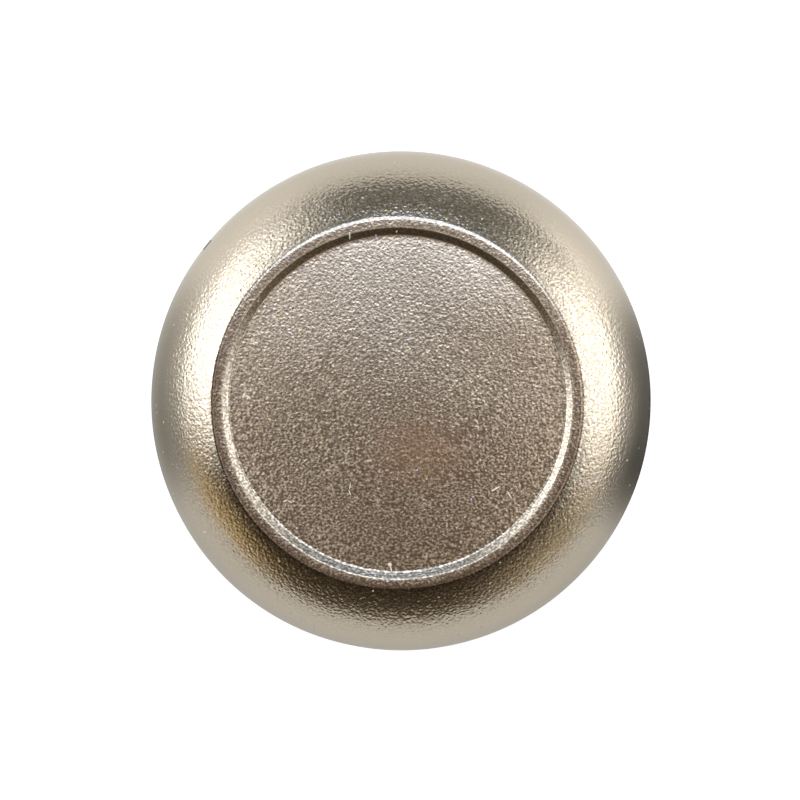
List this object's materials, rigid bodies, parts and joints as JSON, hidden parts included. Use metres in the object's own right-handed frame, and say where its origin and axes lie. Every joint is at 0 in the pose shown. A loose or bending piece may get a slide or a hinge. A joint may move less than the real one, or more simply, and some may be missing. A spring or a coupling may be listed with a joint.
{
  "type": "metal shank button",
  "caption": "Round domed metal button with a recessed middle framed by a narrow lip, and a cast sewing loop on its hollow back.",
  "frame": {"origin": "the end of the shank's loop, on the button's axis, where it meets the cloth", "axes": "+Z points out of the button's face; the eye in the loop runs along Y"},
  "size_m": [0.02, 0.02, 0.0079],
  "materials": {
    "plated_casting": "pale gold plating over a pearl-blasted zinc alloy casting, matte and finely grained"
  },
  "bodies": {
    "root": {"button": "plated_casting"}
  },
  "joints": []
}
